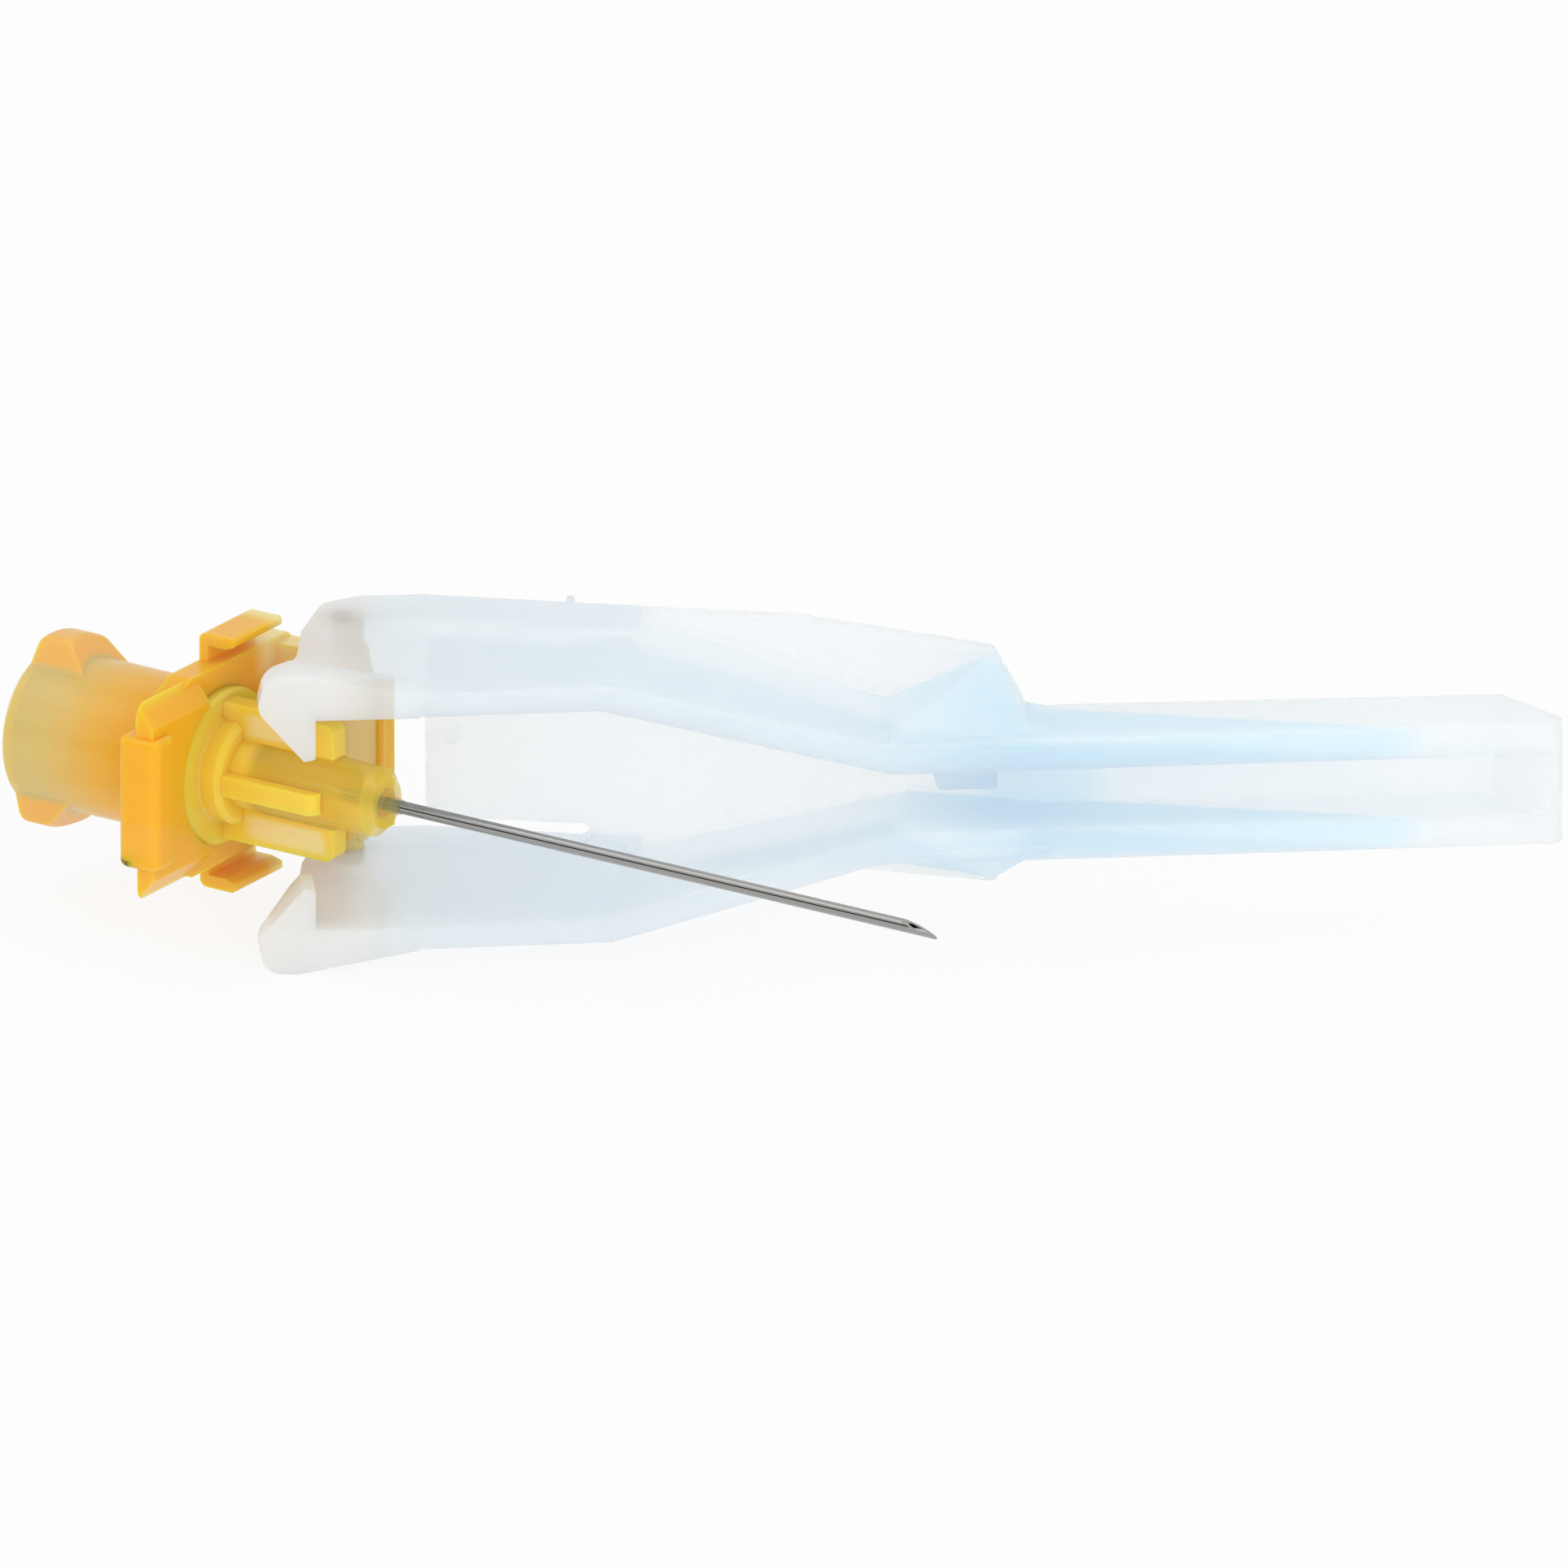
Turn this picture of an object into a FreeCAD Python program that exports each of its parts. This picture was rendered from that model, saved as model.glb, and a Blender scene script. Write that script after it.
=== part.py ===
import FreeCAD, Part
import math
import os

# Safety hypodermic needle: a 25 gauge steel tube in a coloured Luer hub, with a
# hinge collar pressed on the hub and a clear sheath that swings on the collar.
# All sizes are in millimetres. The origin is the centre of the Luer mouth. X runs
# along the needle to its point, Y goes to the hinge side, and Z is up, along the
# hinge pins. The part lies on its side, with the sheath part open.

V = FreeCAD.Vector

# Needle tube
tube_r = 0.257
tube_bore_r = 0.13
exposed_length = 25.7
tube_rear_x = 10.0
bevel_length = 1.75
side_bevel_turn = 32.0
side_bevel_back = 0.55

# Luer hub
socket_mouth_r = 2.14
socket_taper = 0.03
socket_depth = 7.5
flow_r = 0.9
flow_depth = 0.9
rim_r = 3.12
rim_width = 0.45
barrel_r = 3.08
barrel_waist_r = 3.04
rim_break = 0.1
lug_span = 7.73
lug_start_x = 0.1
lug_tip_end_x = 1.25
lug_end_slope = 45.0
lug_half_angle = 18.5
lug_turn = -12.0
lug_flank_draft = 27.0
lug_edge_round = 0.3
seat_r = 2.9
bead_r = 3.15
bead_width = 0.45
bead_break = 0.12
shoulder_x = 9.55
shoulder_r = 2.15
shoulder_break = 0.2
nose_root_r = 1.48
nose_tip_r = 1.38
nose_end_x = 16.0
nose_chamfer = 0.35
tube_hole_clearance = 0.02
well_r = 0.62
well_depth = 1.9
well_lip = 0.08
glue_rise = 0.12
glue_creep = 0.8
glue_collar_r = 0.42
glue_film = 0.03
rib_width = 0.85
front_rib_reach = 1.95
front_rib_end_x = 13.9
side_rib_reach = 2.82
side_rib_end_x = 13.8
rib_round = 0.45
press_gap = 0.01
bead_gap = 0.05

# Hinge collar
plate_x = 7.15
plate_thickness = 1.0
side_gap = 0.21
plate_front_y = -1.9
plate_back_y = 5.0
plate_round = 0.5
plate_corner_y = -4.26
plate_corner_half = 3.04
block_front_y = -5.6
block_half_height = 2.72
block_thickness = 1.85
block_back_y = -4.43
block_slant = 0.2
block_round = 0.4
block_edge_round = 0.3
ramp_x = 7.95
ramp_thickness = 0.75
ramp_front_y = -5.35
ramp_set_in = 0.05
ramp_slope = 51.0
ramp_round = 0.45
guard_near_y = 0.1
guard_far_y = 3.37
guard_web = 0.4
guard_rise = 1.15
guard_length = 1.65
guard_tip = 0.36
guard_ledge = 0.5
guard_round = 0.3
arm_end_x = 13.0
arm_back_y = 4.96
arm_panel = 0.42
arm_bar = 0.7
arm_bar_length = 0.42
arm_root_end_x = 10.75
arm_root = 1.0
arm_set_in = 0.25
arm_tip_half_height = 3.0
arm_tip_start_x = 11.75
arm_tip_slant = 0.35
collar_overlap = 0.5

# Hinge
pivot_x = 10.8
pivot_y = 5.0
pin_r = 0.6
pin_clearance = 0.05
pin_skin = 0.3
pin_end_gap = 0.08
knuckle_r = 0.85
knuckle_width = 0.9
rest_opening = 37.8

# Sheath, measured from the hinge pins: s runs along the sheath to its closed end,
# m goes from its back plate to its open mouth, and h is the height above the middle
half_width = 5.26
side_wall = 0.95
back_wall = 0.85
rear_s = -2.1
rear_run = 1.2
back_start_s = 3.1
back_rear_m = -1.96
bend_s = 11.4
bend_m = -0.1
pad_start_s = 17.5
pad_start_m = 0.5
pad_slope = 0.435
pad_end_s = 26.0
fold_back_s = 11.35
fold_back_m = 0.9
fold_lean = 0.2
fold_slope = 0.2726
rim_rear_m = 9.42
rim_fold_m = 8.98
rim_fold_s = 9.8
rim_channel_m = 8.55
rim_channel_s = 20.5
rim_end_m = 7.9
channel_half_width = 2.48
channel_wall = 1.25
channel_start_s = 17.6
channel_back_m = 4.5
channel_back_s = 26.9
end_back_s = 44.6
end_rim_s = 47.2
end_wall = 0.95
end_round = 0.5
wing_mid_half = 5.0
wing_mid_s = 18.0
wing_tip_half = 4.74
wing_tip_s = 24.85
wing_end_half = 2.75
gusset_start_s = 20.5
gusset_end_s = 26.9
gusset_top_m = 7.8
gusset_fall = 1.62
gusset_inset = 0.05
gusset_root = 0.6
slot_width = 0.75
slot_end_s = 9.4
pip_r = 0.4
pip_height = 0.25
pip_s = 4.0
gate_r = 0.17
gate_height = 0.2
gate_s = 8.7
gate_m = -0.75
step_s = 14.6
step_width = 0.3
step_height = 0.15
step_half = 3.0
lock_start_s = 22.1
lock_end_s = 24.7
lock_top_m = 8.0
lock_low_m = 7.5
lock_gap = 0.36
lock_slant = 0.3
lock_round = 0.1

# Sheath hooks at the rear corners of the mouth
hook_tip_s = -4.12
hook_tip_half = 4.75
hook_corner_run = 0.35
hook_corner_drop = 0.1
hook_point_run = 0.45
hook_depth_m = 1.9
hook_slant_s = -2.75
hook_slant = 34.0
hook_reach_half = 2.62
hook_catch_s = -1.83
hook_round = 0.75
hook_point_round = 0.13
hook_set_in = 0.02
flare_spread = 0.89
flare_start_s = 2.2
flare_end_s = -2.6

# Rear edge of the sheath's sides from the mouth to the back, as s, m and corner radius
rear_edge = [
    (rear_s - rear_run, 7.5, 0.5),
    (-2.27, 4.6, 0.8),
    (-1.93, 1.87, 1.5),
    (-0.95, -1.25, 1.0),
    (0.6, back_rear_m, 1.5),
]

# Places worked out from the sizes above
flare_half = half_width + flare_spread
tube_tip_x = nose_end_x + exposed_length
tube_hole_r = tube_r + tube_hole_clearance
socket_end_r = socket_mouth_r - socket_taper * socket_depth
collar_hole_r = seat_r + press_gap
plate_front_x = plate_x + plate_thickness
bead_x = plate_front_x + press_gap
bead_front_x = bead_x + bead_width
inner_half_width = half_width - side_wall
plate_half_height = inner_half_width - side_gap
arm_half_height = plate_half_height - arm_set_in
ramp_half_height = plate_half_height - ramp_set_in
guard_half_height = plate_half_height + guard_rise
pin_hole_reach = half_width - pin_skin
pin_reach = pin_hole_reach - pin_end_gap
pad_end_m = pad_start_m + pad_slope * (pad_end_s - pad_start_s)
channel_half_inner = channel_half_width - channel_wall
far = 60.0


def on_side(s, m, h=0.0):
    """A point of the sheath before it is turned to its place."""
    return V(s, -m, h)


def edges_of(points, place):
    """Lines through the points, with an arc at each corner that has a radius."""
    corners = [(p[0], p[1], p[2] if len(p) > 2 else 0.0) for p in points]
    count = len(corners)
    starts = []
    ends = []
    arcs = []
    for i, (u, v, radius) in enumerate(corners):
        before = corners[i - 1]
        after = corners[(i + 1) % count]
        if radius <= 0.0:
            starts.append((u, v))
            ends.append((u, v))
            arcs.append(None)
            continue
        to_before = FreeCAD.Vector(before[0] - u, before[1] - v, 0).normalize()
        to_after = FreeCAD.Vector(after[0] - u, after[1] - v, 0).normalize()
        half_angle = to_before.getAngle(to_after) / 2.0
        run = radius / math.tan(half_angle)
        middle = (to_before + to_after).normalize()
        reach = radius / math.sin(half_angle) - radius
        starts.append((u + to_before.x * run, v + to_before.y * run))
        ends.append((u + to_after.x * run, v + to_after.y * run))
        arcs.append((u + middle.x * reach, v + middle.y * reach))
    edges = []
    for i in range(count):
        if arcs[i] is not None:
            arc = Part.Arc(place(*starts[i]), place(*arcs[i]), place(*ends[i]))
            edges.append(arc.toShape())
        edges.append(Part.makeLine(place(*ends[i]), place(*starts[(i + 1) % count])))
    return edges


def prism(points, place, path):
    """A solid with the given outline, drawn along a straight path."""
    wire = Part.Wire(edges_of(points, place))
    return Part.Face(wire).extrude(path)


def upright(points, z0, z1):
    """A prism along Z from an outline in X and Y."""
    return prism(points, lambda x, y: V(x, y, z0), V(0, 0, z1 - z0))


def along_x(points, x0, x1):
    """A prism along X from an outline in Y and Z."""
    return prism(points, lambda y, z: V(x0, y, z), V(x1 - x0, 0, 0))


def side_prism(points, half):
    """A sheath solid from its outline seen along the pins."""
    return prism(points, lambda s, m: on_side(s, m, -half), V(0, 0, 2 * half))


def plan_prism(points, m0, m1):
    """A sheath solid from its outline seen square to the mouth."""
    return prism(points, lambda s, h: on_side(s, m0, h), V(0, m0 - m1, 0))


def turned(points):
    """A solid of revolution about X from its outline in X and radius."""
    wire = Part.makePolygon([V(x, r, 0) for x, r in points + points[:1]])
    return Part.Face(wire).revolve(V(0, 0, 0), V(1, 0, 0), 360)


def half_space(point, normal):
    """A large block that lies beyond the plane through a point."""
    block = Part.makeBox(2 * far, 2 * far, far, V(-far, -far, 0))
    turn = FreeCAD.Rotation(V(0, 0, 1), normal)
    block.Placement = FreeCAD.Placement(point, turn)
    return block


def mirrored(shape):
    """The same shape on the other side of the middle plane."""
    return shape.mirror(V(0, 0, 0), V(0, 0, 1))


def joined(first, *others):
    return first.fuse(list(others)).removeSplitter()


def make_tube():
    """Steel tube with a ground point: one long bevel and two side bevels."""
    length = tube_tip_x - tube_rear_x
    axis = V(1, 0, 0)
    start = V(tube_rear_x, 0, 0)
    tube = Part.makeCylinder(tube_r, length, start, axis)
    bore = Part.makeCylinder(tube_bore_r, length, start, axis)
    tube = tube.cut(bore)
    tip = V(tube_tip_x, 0, -tube_r)
    bevel = V(2 * tube_r, 0, bevel_length)
    tube = tube.cut(half_space(tip, bevel))
    for side in (-1, 1):
        facet = V(2 * tube_r, 0, bevel_length - 2 * side_bevel_back)
        turn = FreeCAD.Rotation(V(1, 0, 0), side * side_bevel_turn)
        tube = tube.cut(half_space(tip, turn.multVec(facet)))
    return tube


def hub_body():
    """Outside of the hub: rim, barrel, collar seat, shoulder and nose."""
    return turned([
        (0.0, 0.0),
        (0.0, rim_r - rim_break),
        (rim_break, rim_r),
        (rim_width, rim_r),
        (rim_width + rim_break, barrel_r),
        (plate_x, barrel_waist_r),
        (plate_x, seat_r),
        (bead_x, seat_r),
        (bead_x, bead_r),
        (bead_front_x - bead_break, bead_r),
        (bead_front_x, bead_r - bead_break),
        (bead_front_x, shoulder_r + bead_break),
        (bead_front_x + bead_break, shoulder_r),
        (shoulder_x - shoulder_break, shoulder_r),
        (shoulder_x, shoulder_r - shoulder_break),
        (shoulder_x, nose_root_r),
        (nose_end_x - nose_chamfer, nose_tip_r),
        (nose_end_x, nose_tip_r - nose_chamfer),
        (nose_end_x, 0.0),
    ])


def hub_bore():
    """Luer socket, flow channel and the hole and glue well of the tube."""
    flow_x = socket_depth + flow_depth
    return turned([
        (0.0, 0.0),
        (0.0, socket_mouth_r),
        (socket_depth, socket_end_r),
        (socket_depth, flow_r),
        (flow_x, flow_r),
        (tube_rear_x, tube_hole_r),
        (nose_end_x - well_depth, tube_hole_r),
        (nose_end_x - well_lip, well_r),
        (nose_end_x, well_r),
        (nose_end_x, 0.0),
    ])


def lock_lug(turn):
    """One lug of the Luer lock, whose outer face is part of the thread's cylinder."""
    flank = math.radians(lug_half_angle)
    draft = math.tan(math.radians(lug_flank_draft))
    tip_y = lug_span / 2 * math.sin(flank)
    tip_z = lug_span / 2 * math.cos(flank)
    root_z = barrel_r / 2
    root_y = tip_y + (tip_z - root_z) * draft
    outline = [
        Part.Arc(V(lug_start_x, -tip_y, tip_z), V(lug_start_x, 0, lug_span / 2),
                 V(lug_start_x, tip_y, tip_z)).toShape(),
        Part.makeLine(V(lug_start_x, tip_y, tip_z), V(lug_start_x, root_y, root_z)),
        Part.makeLine(V(lug_start_x, root_y, root_z), V(lug_start_x, -root_y, root_z)),
        Part.makeLine(V(lug_start_x, -root_y, root_z), V(lug_start_x, -tip_y, tip_z)),
    ]
    lug = Part.Face(Part.Wire(outline)).extrude(V(lug_span, 0, 0))
    slope = math.radians(lug_end_slope)
    lug = lug.cut(half_space(V(lug_tip_end_x, 0, lug_span / 2),
                             V(math.cos(slope), 0, math.sin(slope))))
    rounded = [
        edge for edge in lug.Edges
        if min(point.Point.z for point in edge.Vertexes) > tip_z - lug_edge_round
    ]
    lug = lug.makeFillet(lug_edge_round, rounded)
    lug.rotate(V(0, 0, 0), V(1, 0, 0), turn)
    return lug


def make_hub():
    """Moulded Luer hub with two lock lugs and four ribs along its nose."""
    hub = hub_body()
    lugs = [lock_lug(lug_turn), lock_lug(lug_turn + 180.0)]
    half_rib = rib_width / 2
    front_rib = upright([
        (plate_front_x, 0.0),
        (plate_front_x, -front_rib_reach),
        (front_rib_end_x, -front_rib_reach, rib_round),
        (front_rib_end_x, 0.0),
    ], -half_rib, half_rib)
    back_rib = front_rib.mirror(V(0, 0, 0), V(0, 1, 0))
    side_rib = prism([
        (plate_front_x, -side_rib_reach),
        (side_rib_end_x, -side_rib_reach, rib_round),
        (side_rib_end_x, side_rib_reach, rib_round),
        (plate_front_x, side_rib_reach),
    ], lambda x, z: V(x, -half_rib, z), V(0, rib_width, 0))
    return joined(hub, *lugs, front_rib, back_rib, side_rib).cut(hub_bore())


def make_adhesive():
    """Glue that fills the well round the tube, with a small meniscus."""
    well_start = nose_end_x - well_depth
    return turned([
        (well_start, tube_r),
        (well_start, tube_hole_r),
        (nose_end_x - well_lip, well_r),
        (nose_end_x, well_r),
        (nose_end_x + glue_rise, glue_collar_r),
        (nose_end_x + glue_creep - glue_film, tube_r + glue_film),
        (nose_end_x + glue_creep, tube_r),
    ])


def catch_guard():
    """L-shaped guard above the plate that takes the sheath's side wall."""
    end_x = plate_x + guard_length
    web_x = plate_x + guard_web
    web = upright([
        (plate_x, guard_near_y),
        (plate_x, guard_far_y),
        (web_x, guard_far_y),
        (web_x, guard_near_y),
    ], plate_half_height - guard_round, guard_half_height - guard_round)
    ledge = prism([
        (plate_x, guard_half_height, guard_round),
        (end_x, guard_half_height, guard_round / 2),
        (end_x, guard_half_height - guard_tip, guard_round / 2),
        (end_x - guard_ledge, guard_half_height - guard_ledge),
        (plate_x, guard_half_height - guard_ledge),
    ], lambda x, z: V(x, guard_near_y, z), V(0, guard_far_y - guard_near_y, 0))
    return joined(web, ledge)


def make_collar():
    """Collar plate with its catches, and the arm that carries the hinge pins."""
    plate = along_x([
        (plate_front_y, plate_half_height),
        (plate_corner_y, plate_corner_half),
        (plate_corner_y, -plate_corner_half),
        (plate_front_y, -plate_half_height),
        (plate_back_y, -plate_half_height, plate_round),
        (plate_back_y, plate_half_height, plate_round),
    ], plate_x, plate_front_x)
    block = upright([
        (plate_x, block_front_y, block_round),
        (plate_x + block_thickness, block_front_y, block_round),
        (plate_x + block_thickness, block_back_y),
        (plate_front_x, block_back_y + block_slant),
        (plate_front_x, block_back_y + collar_overlap),
        (plate_x, block_back_y + collar_overlap),
    ], -block_half_height, block_half_height)
    block = block.makeFillet(block_edge_round, [
        edge for edge in block.Edges
        if edge.BoundBox.YMax < block_front_y + block_round + 0.01 and edge.BoundBox.ZLength < 0.01
    ])
    ramp_plate = along_x([
        (ramp_front_y, -ramp_half_height, ramp_round),
        (plate_front_y + collar_overlap, -ramp_half_height),
        (plate_front_y + collar_overlap, ramp_half_height),
        (ramp_front_y, ramp_half_height, ramp_round),
    ], ramp_x, ramp_x + ramp_thickness)
    corner = V(ramp_x, 0, ramp_half_height)
    slope = math.radians(ramp_slope)
    ramp_cut = half_space(corner, V(math.sin(slope), 0, math.cos(slope)))
    ramp_plate = ramp_plate.cut(ramp_cut).cut(mirrored(ramp_cut))
    root = upright([
        (plate_x, arm_back_y - arm_root),
        (arm_root_end_x, arm_back_y - arm_root),
        (arm_root_end_x, arm_back_y - arm_panel),
        (arm_end_x - arm_bar_length, arm_back_y - arm_panel),
        (arm_end_x - arm_bar_length, arm_back_y - arm_bar),
        (arm_end_x, arm_back_y - arm_bar),
        (arm_end_x, arm_back_y),
        (plate_x, arm_back_y),
    ], -arm_half_height, arm_half_height)
    tip_cut = prism([
        (arm_tip_start_x, plate_half_height + 1.0),
        (arm_tip_start_x, arm_half_height),
        (arm_tip_start_x + arm_tip_slant, arm_tip_half_height),
        (arm_end_x + 1.0, arm_tip_half_height),
        (arm_end_x + 1.0, plate_half_height + 1.0),
    ], lambda x, z: V(x, 0, z), V(0, far, 0))
    root = root.cut(tip_cut).cut(mirrored(tip_cut))
    knuckles = [
        Part.makeCylinder(knuckle_r, knuckle_width, V(pivot_x, pivot_y, z))
        for z in (arm_half_height - knuckle_width, -arm_half_height)
    ]
    pin = Part.makeCylinder(pin_r, 2 * pin_reach, V(pivot_x, pivot_y, -pin_reach))
    gap = Part.makeCylinder(
        pin_r + 1.0, 2 * (arm_half_height - knuckle_width),
        V(pivot_x, pivot_y, knuckle_width - arm_half_height))
    pin = pin.cut(gap)
    guard = catch_guard()
    collar = joined(plate, block, ramp_plate, root, guard, mirrored(guard), pin, *knuckles)
    hole = Part.makeCylinder(collar_hole_r, far, V(plate_x - 1.0, 0, 0), V(1, 0, 0))
    bead_room = Part.makeCylinder(bead_r + bead_gap, far, V(plate_front_x, 0, 0), V(1, 0, 0))
    return collar.cut(hole).cut(bead_room)


def back_line(offset):
    """Back of the sheath seen along the pins, from the rear to the closed end."""
    return [
        (back_start_s, back_rear_m + offset + 0.12),
        (bend_s, bend_m + offset),
        (pad_start_s, pad_start_m + offset),
        (pad_end_s, pad_end_m + offset),
    ]


def folded_side(shape, inset):
    """The shape with both sides cut to the planes that narrow the sheath."""
    normal = V(fold_slope, fold_slope * -fold_lean, 1.0)
    normal.normalize()
    on_fold = on_side(fold_back_s, fold_back_m, half_width) - normal * inset
    top = half_space(on_fold, normal)
    return shape.cut(top).cut(mirrored(top))


def sheath_outside():
    """Wide rear part with its two side walls, then the narrow channel."""
    wide = side_prism([
        (rear_s, rim_rear_m),
        (rear_s - rear_run, rim_rear_m),
        *rear_edge,
        (back_start_s, back_rear_m),
        *back_line(0.0)[1:],
        (pad_end_s, rim_channel_m - 0.1),
        (rim_channel_s, rim_channel_m),
        (rim_fold_s, rim_fold_m),
    ], half_width)
    wide = folded_side(wide, 0.0)
    channel = side_prism([
        (channel_start_s, pad_start_m + 0.3),
        (pad_end_s, pad_end_m),
        (channel_back_s, channel_back_m),
        (end_back_s, channel_back_m, end_round),
        (end_rim_s, rim_end_m, end_round),
        (rim_channel_s, rim_channel_m),
        (channel_start_s, rim_channel_m + 0.1),
    ], channel_half_width)
    return wide, channel


def sheath_inside():
    """Space between the walls, open at the rear, the mouth and the rear window."""
    beyond = rim_rear_m + 3.0
    wide = side_prism([
        (rear_s - 9.0, beyond),
        (rear_s - 9.0, back_rear_m - 3.0),
        (back_start_s, back_rear_m - 3.0),
        *back_line(back_wall),
        (pad_end_s, beyond),
    ], inner_half_width)
    wide = folded_side(wide, side_wall + 0.1)
    wide = wide.cut(half_space(on_side(rim_channel_s + 1.0, 0), V(1, 0, 0)))
    channel = side_prism([
        (channel_start_s - 2.0, beyond),
        (channel_start_s - 2.0, pad_start_m + back_wall + 0.2),
        (pad_start_s, pad_start_m + back_wall),
        (pad_end_s, pad_end_m + back_wall + 0.1),
        (channel_back_s, channel_back_m + back_wall),
        (end_back_s - 0.4, channel_back_m + back_wall),
        (end_rim_s - end_wall, rim_end_m),
        (end_rim_s - end_wall, beyond),
    ], channel_half_inner)
    return wide, channel


def thumb_pad():
    """Wide back plate from the fold to the thumb pad, with its wings."""
    plate = side_prism([
        *back_line(0.0)[1:],
        *reversed(back_line(back_wall)[1:]),
    ], half_width)
    outline = plan_prism([
        (bend_s - 1.0, -half_width),
        (bend_s, -half_width, 2.0),
        (wing_mid_s, -wing_mid_half, 2.0),
        (wing_tip_s, -wing_tip_half, 0.3),
        (pad_end_s, -wing_end_half, 0.2),
        (pad_end_s, wing_end_half, 0.2),
        (wing_tip_s, wing_tip_half, 0.3),
        (wing_mid_s, wing_mid_half, 2.0),
        (bend_s, half_width, 2.0),
        (bend_s - 1.0, half_width),
    ], -far / 2, far / 2)
    return plate.common(outline)


def gusset():
    """Web between a wing of the thumb pad and the side of the channel."""
    web = plan_prism([
        (gusset_start_s, channel_half_width - gusset_root),
        (gusset_start_s, channel_half_width),
        (wing_tip_s, wing_tip_half - gusset_inset),
        (pad_end_s, wing_end_half - gusset_inset),
        (gusset_end_s, channel_half_width),
        (gusset_end_s, channel_half_width - gusset_root),
    ], pad_start_m, rim_channel_m)
    rear_s_below = pad_start_s - far
    rear_m_below = pad_start_m - pad_slope * far
    below = side_prism([
        (rear_s_below, rear_m_below - far),
        (rear_s_below, rear_m_below + back_wall / 2),
        (pad_end_s, pad_end_m + back_wall / 2),
        (far, pad_end_m + back_wall),
        (far, rear_m_below - far),
    ], half_width)
    slant = half_space(on_side(gusset_end_s, gusset_top_m, channel_half_width),
                       V(0.05, -1.0, gusset_fall))
    return web.cut(below).cut(slant)


def hook():
    """Flared ear at a rear corner of the mouth, with its inward barb."""
    ear = plan_prism([
        (flare_start_s, inner_half_width),
        (flare_start_s, half_width),
        (flare_end_s, flare_half, hook_round),
        (hook_tip_s + hook_corner_run, flare_half - hook_corner_drop, hook_round),
        (hook_tip_s, hook_tip_half, hook_round),
        (hook_catch_s - hook_point_run, hook_reach_half, hook_point_round),
        (hook_catch_s, hook_reach_half + 0.08, hook_point_round),
        (hook_catch_s, inner_half_width),
    ], rim_rear_m - hook_depth_m, rim_rear_m - hook_set_in)
    slant = math.radians(hook_slant)
    corner = on_side(hook_slant_s, rim_rear_m - hook_depth_m)
    return ear.cut(half_space(corner, V(-math.sin(slant), math.cos(slant), 0)))


def needle_lock():
    """Tongue across the channel that the needle passes on its way in."""
    return plan_prism([
        (lock_start_s, channel_half_inner + 0.2),
        (lock_start_s + lock_slant, lock_gap, lock_round),
        (lock_end_s, lock_gap, lock_round),
        (lock_end_s, channel_half_inner + 0.2),
    ], lock_low_m, lock_top_m)


def sheath_cuts():
    """Relief slots beside the side walls and the pin holes."""
    slot_middle = inner_half_width - slot_width / 2
    cuts = []
    for side in (-1, 1):
        middle = side * slot_middle
        cuts.append(plan_prism([
            (back_start_s - 1.0, middle - slot_width / 2),
            (slot_end_s, middle - slot_width / 2, slot_width * 0.45),
            (slot_end_s, middle + slot_width / 2, slot_width * 0.45),
            (back_start_s - 1.0, middle + slot_width / 2),
        ], back_rear_m - 3.0, 2.5))
    hole_r = pin_r + pin_clearance
    cuts.append(Part.makeCylinder(hole_r, 2 * pin_hole_reach, V(0, 0, -pin_hole_reach)))
    return cuts


def back_details():
    """Moulding pip and cross step on the inner face of the back, and the gate's mark."""
    slope = (bend_m - back_rear_m) / (bend_s - back_start_s)
    pip_m = back_rear_m + back_wall + slope * (pip_s - back_start_s)
    pip = Part.makeCylinder(pip_r, pip_height + 0.2, on_side(pip_s, pip_m), V(0, -1, 0))
    step_rise = (pad_start_m - bend_m) / (pad_start_s - bend_s)
    step_m = bend_m + back_wall + step_rise * (step_s - bend_s)
    step = plan_prism([
        (step_s, -step_half),
        (step_s + step_width, -step_half),
        (step_s + step_width, step_half),
        (step_s, step_half),
    ], step_m - 0.2, step_m + step_height)
    gate = Part.makeCylinder(gate_r, gate_height + 0.2, on_side(gate_s, gate_m, half_width - 0.2))
    return [pip, step, gate]


def make_sheath():
    """Clear moulded sheath, turned about its pins to its open place."""
    wide, channel = sheath_outside()
    upper_gusset = gusset()
    shell = joined(wide, channel, thumb_pad(), upper_gusset, mirrored(upper_gusset))
    for space in sheath_inside():
        shell = shell.cut(space)
    upper_hook = hook()
    details = back_details()
    shell = joined(shell, upper_hook, mirrored(upper_hook), needle_lock(), *details)
    for cut in sheath_cuts():
        shell = shell.cut(cut)
    shell.rotate(V(0, 0, 0), V(0, 0, 1), rest_opening)
    shell.translate(V(pivot_x, pivot_y, 0))
    return shell


def main():
    os.makedirs("parts", exist_ok=True)
    parts = {
        "needle_tube": make_tube(),
        "needle_hub": make_hub(),
        "needle_adhesive": make_adhesive(),
        "hinge_collar": make_collar(),
        "safety_sheath": make_sheath(),
    }
    for name, shape in parts.items():
        solids = shape.Solids
        print(name, "solids", len(solids), "volume", round(shape.Volume, 3), shape.isValid())
        solid = solids[0] if len(solids) == 1 else shape
        solid.exportStep("parts/" + name + ".step")


main()
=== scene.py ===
import math

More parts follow.
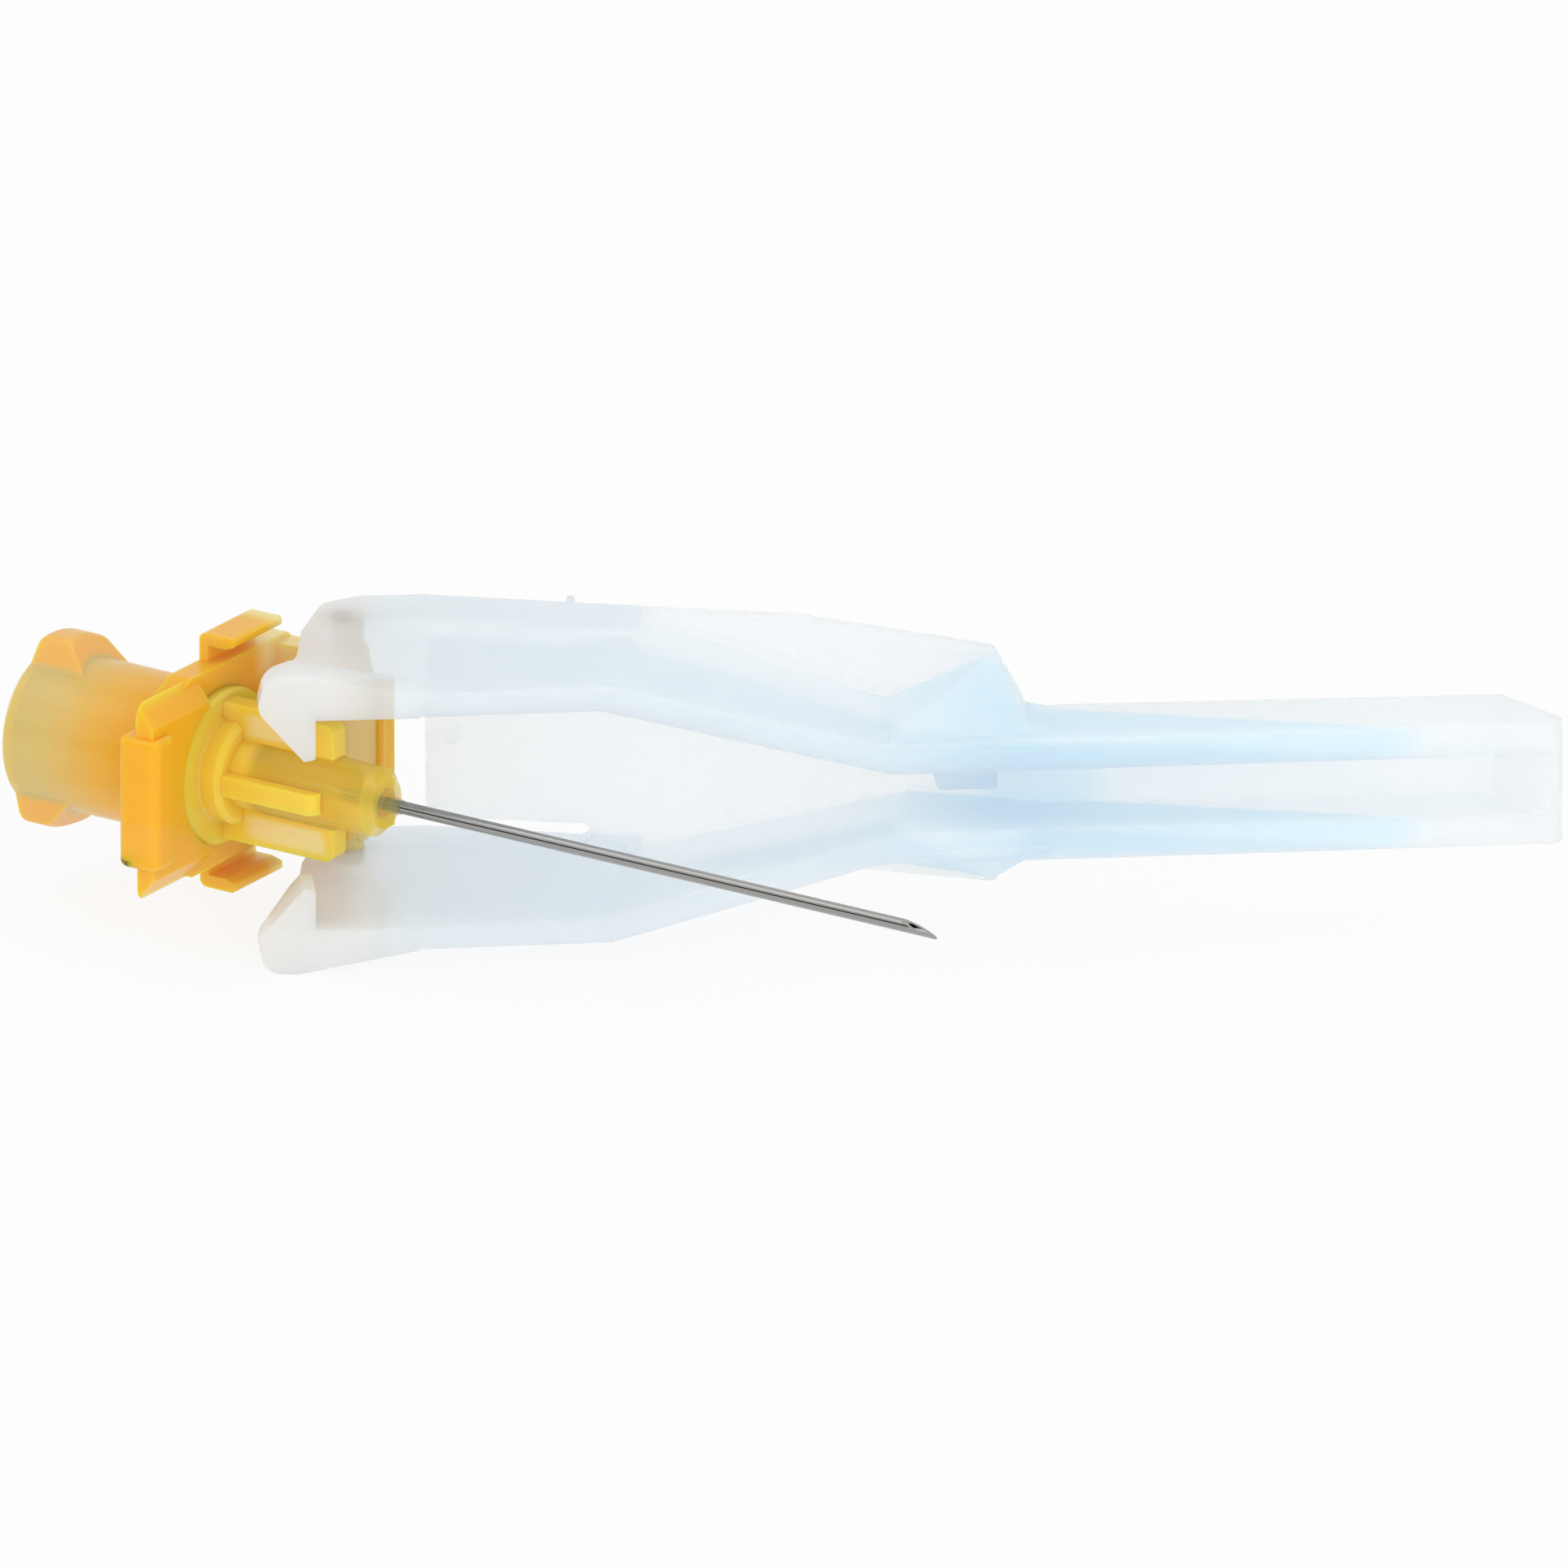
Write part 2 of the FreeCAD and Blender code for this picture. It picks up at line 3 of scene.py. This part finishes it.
import bpy
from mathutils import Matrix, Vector


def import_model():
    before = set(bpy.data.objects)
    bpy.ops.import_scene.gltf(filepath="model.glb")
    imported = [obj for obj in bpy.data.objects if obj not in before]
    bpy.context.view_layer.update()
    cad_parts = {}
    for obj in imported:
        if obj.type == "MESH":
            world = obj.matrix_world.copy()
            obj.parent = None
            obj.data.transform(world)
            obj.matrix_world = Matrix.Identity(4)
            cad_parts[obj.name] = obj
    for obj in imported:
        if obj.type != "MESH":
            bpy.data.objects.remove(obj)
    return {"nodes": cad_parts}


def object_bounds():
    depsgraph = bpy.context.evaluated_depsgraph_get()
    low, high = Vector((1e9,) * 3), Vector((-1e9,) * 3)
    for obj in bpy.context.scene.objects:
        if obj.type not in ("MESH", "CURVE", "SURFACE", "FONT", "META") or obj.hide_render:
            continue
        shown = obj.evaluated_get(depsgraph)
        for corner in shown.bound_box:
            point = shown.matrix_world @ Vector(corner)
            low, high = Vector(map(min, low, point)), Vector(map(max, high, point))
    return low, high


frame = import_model()
cad_low, cad_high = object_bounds()

MM = 0.001

# Where the camera stands, as an angle round the part and an angle above the floor
VIEW_AROUND = math.radians(34.0)
VIEW_ABOVE = math.radians(20.3)
VIEW_WIDTH = 60.95 * MM
VIEW_MIDDLE = Vector((24.22, 15.36, -2.20)) * MM
LENS = 1500.0
SENSOR = 36.0
NEAREST = 0.01
FARTHEST = 20.0

# The hinge pins in the part's frame, in millimetres, and how far open the sheath lies
PIVOT = (10.8, 5.0)
REST_TURN = math.radians(37.8)
# The sheath's back plate, as its place at the pins and its slope along the sheath
BACK_START = -2.65
BACK_SLOPE = 0.224

# Colours of the hub and the collar; the nose, barrel and pale tones hold painted light
DEEP_ORANGE = (0.94, 0.49, 0.02, 1.0)
# The nose tone is lighter and the barrel tone paler with painted light, as if lit through the thin
# walls
NOSE_LIT_ORANGE = (0.97, 0.66, 0.08, 1.0)
BARREL_BACKLIT_ORANGE = (0.69, 0.55, 0.19, 1.0)
LUG_ORANGE = (0.86, 0.50, 0.10, 1.0)
# Painted light: the pale tone stands in for light shining through thin plastic and lifts crevice
# shade
BACKLIT_PALE_ORANGE = (0.95, 0.77, 0.34, 1.0)
# Colours of the sheath
WALL_CLEAR = (0.69, 0.82, 0.94, 1.0)
CHANNEL_CLEAR = (0.53, 0.73, 0.91, 1.0)
# Painted light: the back plate's colour is lighter to lift the shade inside the hollow sheath
BACK_LIT_CLEAR = (0.82, 0.90, 0.97, 1.0)
# Painted see-through: the ears' grey stands in for the orange and grey parts seen through them
EAR_SEEN_THROUGH_GREY = (0.77, 0.79, 0.78, 1.0)
# Colours of the glue, the tube and what stands round the part
GLUE_AMBER = (0.85, 0.60, 0.18, 1.0)
STEEL_GREY = (0.34, 0.335, 0.325, 1.0)
WHITE = (1.0, 1.0, 1.0, 1.0)
FLOOR_WHITE = (0.93, 0.93, 0.93, 1.0)
CARD_BLACK = (0.01, 0.01, 0.01, 1.0)

# Where the hub's colours change, in millimetres along the needle
BARREL_FADE = (0.5, 6.8)
NOSE_START = (6.8, 7.4)
NOSE_CLEAR_START = (10.0, 10.8)
RIB_START = (9.4, 10.2)
RIB_FADE = (12.8, 13.3)
RIB_LEAN = 0.15
# The same away from the hub's axis
LUG_ROOT = (3.1, 3.25)
NOSE_SIDE = (1.42, 1.5)
RIB_ROOT = (1.5, 1.8)
RIB_EDGE = (2.4, 2.7)

# Where the collar's thin arm panel and the paler ends of its plate begin and end
PANEL_BACK = (4.2, 4.5)
PANEL_START = (10.6, 10.9)
PANEL_END = (12.5, 12.7)
PLATE_SIDE = (2.2, 3.4)
PLATE_HEIGHT = (2.4, 3.2)
PLATE_FRONT = (9.0, 9.4)

# Where the sheath's colours and layers change, along it from the pins
EAR_GREY = (-0.8, 2.4)
EAR_THICK = (-1.5, 0.8)
BACK_WIDENS = (11.0, 12.0)
CHANNEL_BLUE = (17.0, 27.0)
CHANNEL_THICK = (18.0, 26.0)
# The same away from its back plate and from its middle
BACK_DEPTH = (1.2, 1.8)
BACK_HEIGHT = (4.1, 4.35)

# How solid each moulding looks, and what the places above add or take away
ORANGE_OPACITY = 0.86
NOSE_CLEARER = 0.36
PANEL_CLEARER = 0.16
SHEATH_OPACITY = 0.5
EAR_DENSER = 0.28
BACK_CLEARER = 0.24
CHANNEL_DENSER = 0.14
GLUE_OPACITY = 0.3

# How far red, green and blue light spread inside each moulding, as shares of its depth
ORANGE_SCATTER = (1.0, 0.6, 0.15)
CLEAR_SCATTER = (1.0, 1.0, 1.0)
GLUE_SCATTER = (1.0, 0.8, 0.5)
ORANGE_DEPTH = 1.0 * MM
CLEAR_DEPTH = 4.0 * MM
GLUE_DEPTH = 1.5 * MM

# The fine ripple of a moulded face, and the streaks along the tube
RIPPLE_SCALE = 900.0
RIPPLE_DETAIL = 2.0
RIPPLE_STRENGTH = 0.06
RIPPLE_HEIGHT = 0.1 * MM
STREAK_SCALE = 4000.0
STREAK_DETAIL = 3.0
STREAK_ROUGH = 0.08
STEEL_ROUGH = 0.1

# The studio: sky, floor, black card and lamps, in metres and watts
SKY_LIGHT = 0.85
FLOOR_HALF = 3.0
FLOOR_GAP = 0.02 * MM
FLOOR_GLOW = 0.55
FLOOR_GLOW_SEEN = 0.3
CARD_LEFT = -0.35
CARD_RIGHT = 0.25
CARD_NEAR = -0.09
CARD_FAR = -0.25
CARD_TOP = 0.08
KEY_PLACE = Vector((-0.25, -0.2, 0.55))
KEY_SIDE = 0.35
KEY_POWER = 0.3
FILL_PLACE = Vector((0.4, -0.35, 0.15))
FILL_SIDE = 0.4
FILL_POWER = 1.0


class Wire:
    """A shader socket that can be used in sums and products."""

    def __init__(self, tree, socket):
        self.tree = tree
        self.socket = socket

    def maths(self, operation, other=None, swapped=False):
        node = self.tree.new("ShaderNodeMath", {"operation": operation})
        pair = [self, other]
        if swapped:
            pair.reverse()
        for socket, value in zip(node.inputs, pair):
            self.tree.feed(socket, value)
        return Wire(self.tree, node.outputs[0])

    def __add__(self, other):
        return self.maths("ADD", other)

    __radd__ = __add__

    def __mul__(self, other):
        return self.maths("MULTIPLY", other)

    __rmul__ = __mul__

    def __sub__(self, other):
        return self.maths("SUBTRACT", other)

    def __rsub__(self, other):
        return self.maths("SUBTRACT", other, swapped=True)

    def size(self):
        return self.maths("ABSOLUTE")

    def root(self):
        return self.maths("SQRT")

    def largest(self, other):
        return self.maths("MAXIMUM", other)


class Tree:
    """The nodes of one material or of the world."""

    def __init__(self, owner):
        owner.use_nodes = True
        self.nodes = owner.node_tree.nodes
        self.links = owner.node_tree.links
        self.nodes.clear()

    def new(self, kind, settings=None, values=None):
        node = self.nodes.new(kind)
        for name, value in (settings or {}).items():
            setattr(node, name, value)
        for name, value in (values or {}).items():
            self.feed(node.inputs[name], value)
        return node

    def feed(self, socket, value):
        if value is None:
            return
        if isinstance(value, Wire):
            self.links.new(value.socket, socket)
        elif isinstance(value, bpy.types.NodeSocket):
            self.links.new(value, socket)
        else:
            socket.default_value = value

    def wire(self, kind, settings=None, values=None):
        node = self.new(kind, settings, values)
        return Wire(self, node.outputs[0])

    def finish(self, kind, shader):
        self.new(kind, values={"Surface": shader.outputs[0]})


def seen_directly(tree):
    """1 for rays that come from the camera, a mirror or through something clear."""
    path = tree.new("ShaderNodeLightPath")
    camera, glossy, through = (
        Wire(tree, path.outputs[name])
        for name in ("Is Camera Ray", "Is Glossy Ray", "Is Transmission Ray")
    )
    return camera.largest(glossy).largest(through)


def noise(tree, scale, detail):
    place = tree.new("ShaderNodeTexCoord")
    return tree.wire(
        "ShaderNodeTexNoise",
        values={"Vector": place.outputs["Object"], "Scale": scale, "Detail": detail},
    )


def position(tree):
    """The three coordinates of the part's own frame, which turn with the part."""
    place = tree.new("ShaderNodeTexCoord")
    parts = tree.new("ShaderNodeSeparateXYZ", values={"Vector": place.outputs["Object"]})
    return [Wire(tree, parts.outputs[axis]) for axis in ("X", "Y", "Z")]


def step(value, ends):
    """0 below the low end, 1 above the high end and a smooth step between, in millimetres."""
    low, high = ends
    return value.tree.wire(
        "ShaderNodeMapRange",
        settings={"interpolation_type": "SMOOTHSTEP"},
        values={"Value": value, "From Min": low * MM, "From Max": high * MM},
    )


def blend(share, first, second):
    """The first colour where the share is 0 and the second where it is 1."""
    tree = share.tree
    mix = tree.new("ShaderNodeMix", {"data_type": "RGBA"}, {0: share, 6: first, 7: second})
    return Wire(tree, mix.outputs[2])


def hub_colour(tree):
    """Deep orange, with painted light: lighter at the nose and paler where the barrel and the flat
    ribs are thin, as if lit through from behind.
    """
    x, y, z = position(tree)
    height = z.size()
    barrel = 1.0 - step(x, BARREL_FADE)
    lug = step((y * y + z * z).root(), LUG_ROOT)
    rib = step(x, RIB_START) * (1.0 - step(x + z * RIB_LEAN, RIB_FADE))
    rib = rib * step(height, RIB_ROOT) * (1.0 - step(height, RIB_EDGE))
    # Painted light: the nose and the thin barrel are lighter, as if lit through from behind
    front = blend(step(x, NOSE_START), DEEP_ORANGE, NOSE_LIT_ORANGE)
    rear = blend(lug, BARREL_BACKLIT_ORANGE, LUG_ORANGE)
    # Painted light: the thin flat ribs are paler, as if lit through
    return blend(rib, blend(barrel, front, rear), BACKLIT_PALE_ORANGE)


def hub_opacity(tree):
    """Nearly solid, but clearer at the nose, where the tube shows inside."""
    x, y, z = position(tree)
    nose = step(x, NOSE_CLEAR_START) * (1.0 - step(y.size().largest(z.size()), NOSE_SIDE))
    return ORANGE_OPACITY - nose * NOSE_CLEARER


def arm_panel(x, y):
    """1 on the thin panel of the collar's arm."""
    return step(y, PANEL_BACK) * step(x, PANEL_START) * (1.0 - step(x, PANEL_END))


def collar_colour(tree):
    """Deep orange, with painted light: paler on the thin panel of the arm and the plate's upper
    and lower ends, as if lit through and lifted out of crevice shade.
    """
    x, y, z = position(tree)
    end = step(y, PLATE_SIDE) * step(z.size(), PLATE_HEIGHT) * (1.0 - step(x, PLATE_FRONT))
    # Painted light: the thin arm panel and the plate's ends are paler, lit through and lifted out
    # of crevice shade
    return blend(arm_panel(x, y).largest(end), DEEP_ORANGE, BACKLIT_PALE_ORANGE)


def collar_opacity(tree):
    """Nearly solid, but clearer where the arm is a thin panel."""
    x, y, z = position(tree)
    return ORANGE_OPACITY - arm_panel(x, y) * PANEL_CLEARER


def sheath_place(tree):
    """Distances along the sheath and from its back plate towards its mouth, and the height."""
    x, y, z = position(tree)
    from_x = x - PIVOT[0] * MM
    from_y = y - PIVOT[1] * MM
    along = from_x * math.cos(REST_TURN) + from_y * math.sin(REST_TURN)
    across = from_x * math.sin(REST_TURN) - from_y * math.cos(REST_TURN)
    back = along * BACK_SLOPE + BACK_START * MM
    return along, across - back, z.size()


def back_plate(along, depth, height):
    """1 on the back plate between the side walls and 0 on what stands on it."""
    middle = (1.0 - step(height, BACK_HEIGHT)).largest(step(along, BACK_WIDENS))
    return (1.0 - step(depth, BACK_DEPTH)) * middle


def sheath_colour(tree):
    """Bluish walls, deeper along the closed channel; a back plate lightened with painted light
    against the shade inside the hollow; ears painted grey with the parts seen through them.
    """
    along, depth, height = sheath_place(tree)
    walls = blend(step(along, CHANNEL_BLUE), WALL_CLEAR, CHANNEL_CLEAR)
    # Painted light: the back plate is lighter against the shade inside the hollow
    walls = blend(back_plate(along, depth, height), walls, BACK_LIT_CLEAR)
    # Painted see-through: the ears take the grey of the parts behind them
    return blend(step(along, EAR_GREY), EAR_SEEN_THROUGH_GREY, walls)


def sheath_opacity(tree):
    """The back plate is one thin layer, the walls and the channel are more, the ears are thick."""
    along, depth, height = sheath_place(tree)
    ear = 1.0 - step(along, EAR_THICK)
    back = back_plate(along, depth, height)
    channel = step(along, CHANNEL_THICK)
    return ear * EAR_DENSER + SHEATH_OPACITY - back * BACK_CLEARER + channel * CHANNEL_DENSER


def moulding(name, base, opacity, scatter, depth, rough, index):
    """Moulded plastic that scatters the light inside it and lets a little straight through."""
    material = bpy.data.materials.new(name)
    tree = Tree(material)
    if callable(base):
        base = base(tree)
    if callable(opacity):
        opacity = opacity(tree)
    bump = tree.new(
        "ShaderNodeBump",
        values={
            "Strength": RIPPLE_STRENGTH,
            "Distance": RIPPLE_HEIGHT,
            "Height": noise(tree, RIPPLE_SCALE, RIPPLE_DETAIL),
        },
    )
    body = tree.new(
        "ShaderNodeBsdfPrincipled",
        values={
            "Base Color": base,
            "Roughness": rough,
            "IOR": index,
            "Subsurface Weight": 1.0,
            "Subsurface Radius": scatter,
            "Subsurface Scale": depth,
            "Alpha": opacity,
            "Normal": bump.outputs[0],
        },
    )
    tree.finish("ShaderNodeOutputMaterial", body)
    return material


def steel():
    material = bpy.data.materials.new("polished_steel")
    tree = Tree(material)
    body = tree.new(
        "ShaderNodeBsdfPrincipled",
        values={
            "Base Color": STEEL_GREY,
            "Metallic": 1.0,
            "Roughness": noise(tree, STREAK_SCALE, STREAK_DETAIL) * STREAK_ROUGH + STEEL_ROUGH,
        },
    )
    tree.finish("ShaderNodeOutputMaterial", body)
    return material


def dress(node, material):
    part = frame["nodes"][node]
    part.data.materials.clear()
    part.data.materials.append(material)


def world():
    """White behind the part, and a slightly weaker light on it."""
    sky = bpy.data.worlds.new("studio")
    bpy.context.scene.world = sky
    tree = Tree(sky)
    light = tree.new("ShaderNodeBackground", values={"Color": WHITE, "Strength": SKY_LIGHT})
    white = tree.new("ShaderNodeBackground", values={"Color": WHITE, "Strength": 1.0})
    mixed = tree.new(
        "ShaderNodeMixShader",
        values={0: seen_directly(tree), 1: light.outputs[0], 2: white.outputs[0]},
    )
    tree.finish("ShaderNodeOutputWorld", mixed)


def sheet(name, corners, shader):
    """A flat sheet of four corners that belongs to the studio."""
    mesh = bpy.data.meshes.new(name)
    mesh.from_pydata(corners, [], [(0, 1, 2, 3)])
    flat = bpy.data.objects.new(name, mesh)
    bpy.context.scene.collection.objects.link(flat)
    material = bpy.data.materials.new(name)
    tree = Tree(material)
    tree.finish("ShaderNodeOutputMaterial", shader(tree))
    mesh.materials.append(material)
    return flat


def floor_shader(tree):
    """Matt white that also glows, so that only a faint shadow stays."""
    matt = tree.new("ShaderNodeBsdfDiffuse", values={"Color": FLOOR_WHITE})
    glow = tree.new("ShaderNodeEmission", values={"Color": WHITE, "Strength": 1.0})
    share = seen_directly(tree) * FLOOR_GLOW_SEEN + FLOOR_GLOW
    return tree.new(
        "ShaderNodeMixShader", values={0: share, 1: matt.outputs[0], 2: glow.outputs[0]}
    )


def floor():
    size = FLOOR_HALF
    height = cad_low[2] - FLOOR_GAP
    around = [(-size, -size), (size, -size), (size, size), (-size, size)]
    plane = sheet("floor", [(x, y, height) for x, y in around], floor_shader)


def card_shader(tree):
    return tree.new("ShaderNodeBsdfDiffuse", values={"Color": CARD_BLACK})


def dark_card():
    """A black card that only mirrors see, as a photographer sets beside steel."""
    corners = [
        (CARD_LEFT, CARD_NEAR, cad_low[2]),
        (CARD_RIGHT, CARD_NEAR, cad_low[2]),
        (CARD_RIGHT, CARD_FAR, CARD_TOP),
        (CARD_LEFT, CARD_FAR, CARD_TOP),
    ]
    card = sheet("dark_card", corners, card_shader)
    card.visible_camera = False
    card.visible_diffuse = False
    card.visible_transmission = False
    card.visible_shadow = False


def lamp(name, place, side, power, mirrored):
    data = bpy.data.lights.new(name, "AREA")
    data.shape = "RECTANGLE"
    data.size = side
    data.size_y = side
    data.energy = power
    light = bpy.data.objects.new(name, data)
    light.location = place
    light.rotation_euler = (VIEW_MIDDLE - place).to_track_quat("-Z", "Y").to_euler()
    light.visible_glossy = mirrored
    bpy.context.scene.collection.objects.link(light)


def camera():
    data = bpy.data.cameras.new("camera")
    data.lens = LENS
    data.sensor_width = SENSOR
    data.clip_start = NEAREST
    data.clip_end = FARTHEST
    back = Vector((
        math.sin(VIEW_AROUND) * math.cos(VIEW_ABOVE),
        -math.cos(VIEW_AROUND) * math.cos(VIEW_ABOVE),
        math.sin(VIEW_ABOVE),
    ))
    distance = VIEW_WIDTH * LENS / SENSOR
    eye = bpy.data.objects.new("camera", data)
    eye.location = VIEW_MIDDLE + back * distance
    eye.rotation_euler = back.to_track_quat("Z", "Y").to_euler()
    bpy.context.scene.collection.objects.link(eye)
    bpy.context.scene.camera = eye


hub_orange = moulding(
    "hub_orange",
    base=hub_colour,
    opacity=hub_opacity,
    scatter=ORANGE_SCATTER,
    depth=ORANGE_DEPTH,
    rough=0.25,
    index=1.4,
)
collar_orange = moulding(
    "collar_orange",
    base=collar_colour,
    opacity=collar_opacity,
    scatter=ORANGE_SCATTER,
    depth=ORANGE_DEPTH,
    rough=0.25,
    index=1.4,
)
clear = moulding(
    "clear_moulding",
    base=sheath_colour,
    opacity=sheath_opacity,
    scatter=CLEAR_SCATTER,
    depth=CLEAR_DEPTH,
    rough=0.14,
    index=1.45,
)
glue = moulding(
    "cured_glue",
    base=GLUE_AMBER,
    opacity=GLUE_OPACITY,
    scatter=GLUE_SCATTER,
    depth=GLUE_DEPTH,
    rough=0.12,
    index=1.45,
)
dress("needle_hub", hub_orange)
dress("hinge_collar", collar_orange)
dress("safety_sheath", clear)
dress("needle_adhesive", glue)
dress("needle_tube", steel())

camera()
world()
floor()
dark_card()
lamp("key", KEY_PLACE, KEY_SIDE, KEY_POWER, True)
lamp("fill", FILL_PLACE, FILL_SIDE, FILL_POWER, False)

bpy.context.scene.view_settings.view_transform = "Standard"
